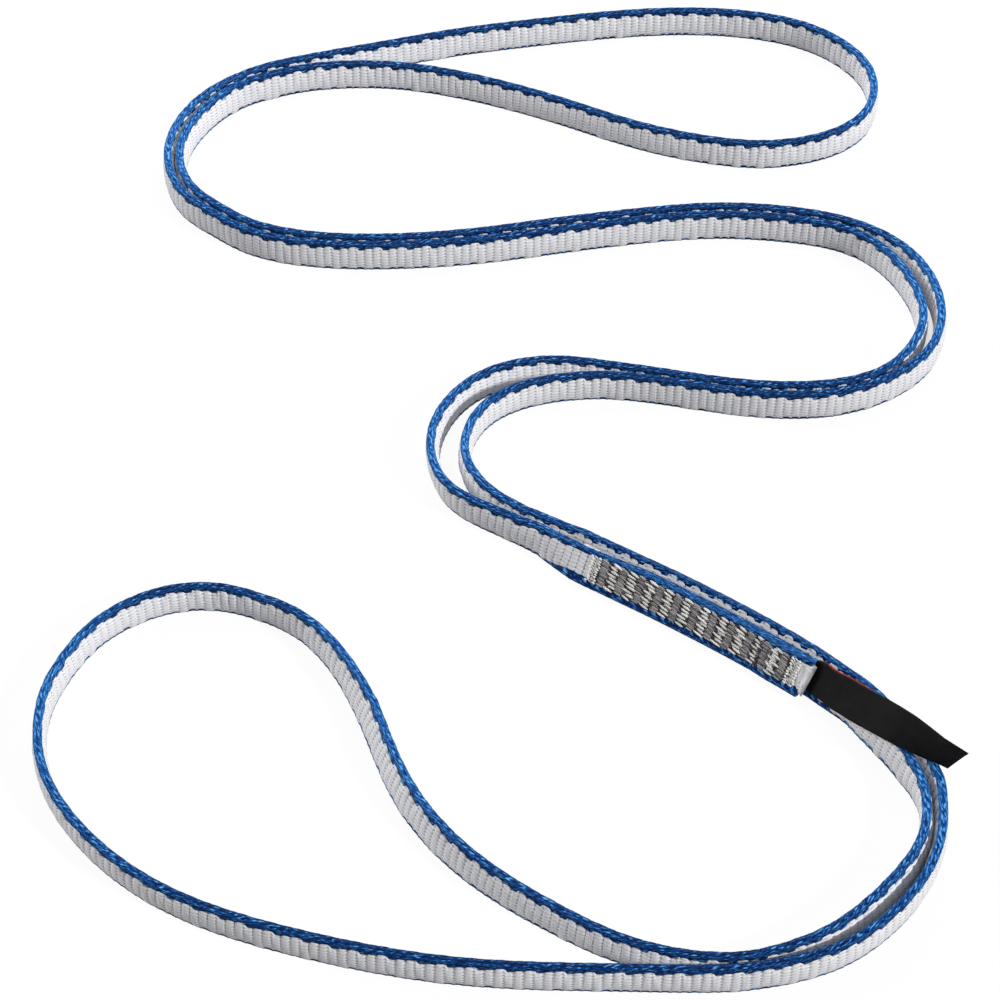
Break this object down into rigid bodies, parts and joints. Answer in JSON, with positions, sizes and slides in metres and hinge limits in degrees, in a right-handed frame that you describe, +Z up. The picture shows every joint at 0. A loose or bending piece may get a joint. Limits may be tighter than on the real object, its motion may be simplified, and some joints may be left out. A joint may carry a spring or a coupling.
{
  "type": "sewn sling",
  "caption": "Closed loop of narrow flat woven tape, its ends lapped and bar tacked, with a folded ribbon label, lying on edge in a meander.",
  "frame": {"origin": "on the surface the sling stands on, under the middle of its outline", "axes": "+Z up, across the tape's width; +Y along the outline's longer side, from the wide loop with the label near it to the narrow loop"},
  "size_m": [0.2524, 0.3565, 0.021],
  "materials": {
    "ground_white": "ribbed weave",
    "edge_blue": "twill weave",
    "tack_grey": "bar tack thread",
    "lock_white": "lock stitch thread",
    "hot_cut": "melted yarn",
    "label_black": "woven ribbon",
    "label_red": "woven ribbon"
  },
  "bodies": {
    "tape": {"ground_splice_near_layer": "ground_white", "ground_left_bend_a": "ground_white", "ground_lower_run_a": "ground_white", "ground_right_bend_a": "ground_white", "ground_upper_run_a": "ground_white", "ground_far_left_bend_a": "ground_white", "ground_top_loop_far_side": "ground_white", "ground_top_loop_end": "ground_white", "ground_top_loop_near_side": "ground_white", "ground_far_left_bend_b": "ground_white", "ground_upper_run_b": "ground_white", "ground_right_bend_b": "ground_white", "ground_lower_run_b": "ground_white", "ground_left_bend_b": "ground_white", "ground_splice_b": "ground_white", "ground_lower_right_bend_b": "ground_white", "ground_bottom_loop_near_side": "ground_white", "ground_bottom_loop_far_side": "ground_white", "ground_lower_right_bend_a": "ground_white", "ground_splice_far_layer": "ground_white", "lower_edge_splice_near_layer": "edge_blue", "lower_edge_left_bend_a": "edge_blue", "lower_edge_lower_run_a": "edge_blue", "lower_edge_right_bend_a": "edge_blue", "lower_edge_upper_run_a": "edge_blue", "lower_edge_far_left_bend_a": "edge_blue", "lower_edge_top_loop_far_side": "edge_blue", "lower_edge_top_loop_end": "edge_blue", "lower_edge_top_loop_near_side": "edge_blue", "lower_edge_far_left_bend_b": "edge_blue", "lower_edge_upper_run_b": "edge_blue", "lower_edge_right_bend_b": "edge_blue", "lower_edge_lower_run_b": "edge_blue", "lower_edge_left_bend_b": "edge_blue", "lower_edge_splice_b": "edge_blue", "lower_edge_lower_right_bend_b": "edge_blue", "lower_edge_bottom_loop_near_side": "edge_blue", "lower_edge_bottom_loop_far_side": "edge_blue", "lower_edge_lower_right_bend_a": "edge_blue", "lower_edge_splice_far_layer": "edge_blue", "upper_edge": "edge_blue", "bar_tack_01": "tack_grey", "bar_tack_02": "tack_grey", "bar_tack_03": "tack_grey", "bar_tack_04": "tack_grey", "bar_tack_05": "tack_grey", "bar_tack_06": "tack_grey", "bar_tack_07": "tack_grey", "bar_tack_08": "tack_grey", "bar_tack_09": "tack_grey", "bar_tack_10": "tack_grey", "bar_tack_11": "tack_grey", "lock_row_at_label": "lock_white", "lock_row_at_far_end": "lock_white", "hot_cut_end_at_label": "hot_cut", "hot_cut_end_far": "hot_cut", "label_sewn_end": "label_black"},
    "label": {"label_front_ply": "label_black", "label_rear_ply": "label_red"}
  },
  "joints": [
    {"name": "label_swing", "type": "hinge", "parent": "tape", "child": "label", "pos_m": [0.07849, -0.08772, 0.00546], "axis": [-0.3616, -0.4212, -0.8318], "range_deg": [0, 80]}
  ]
}
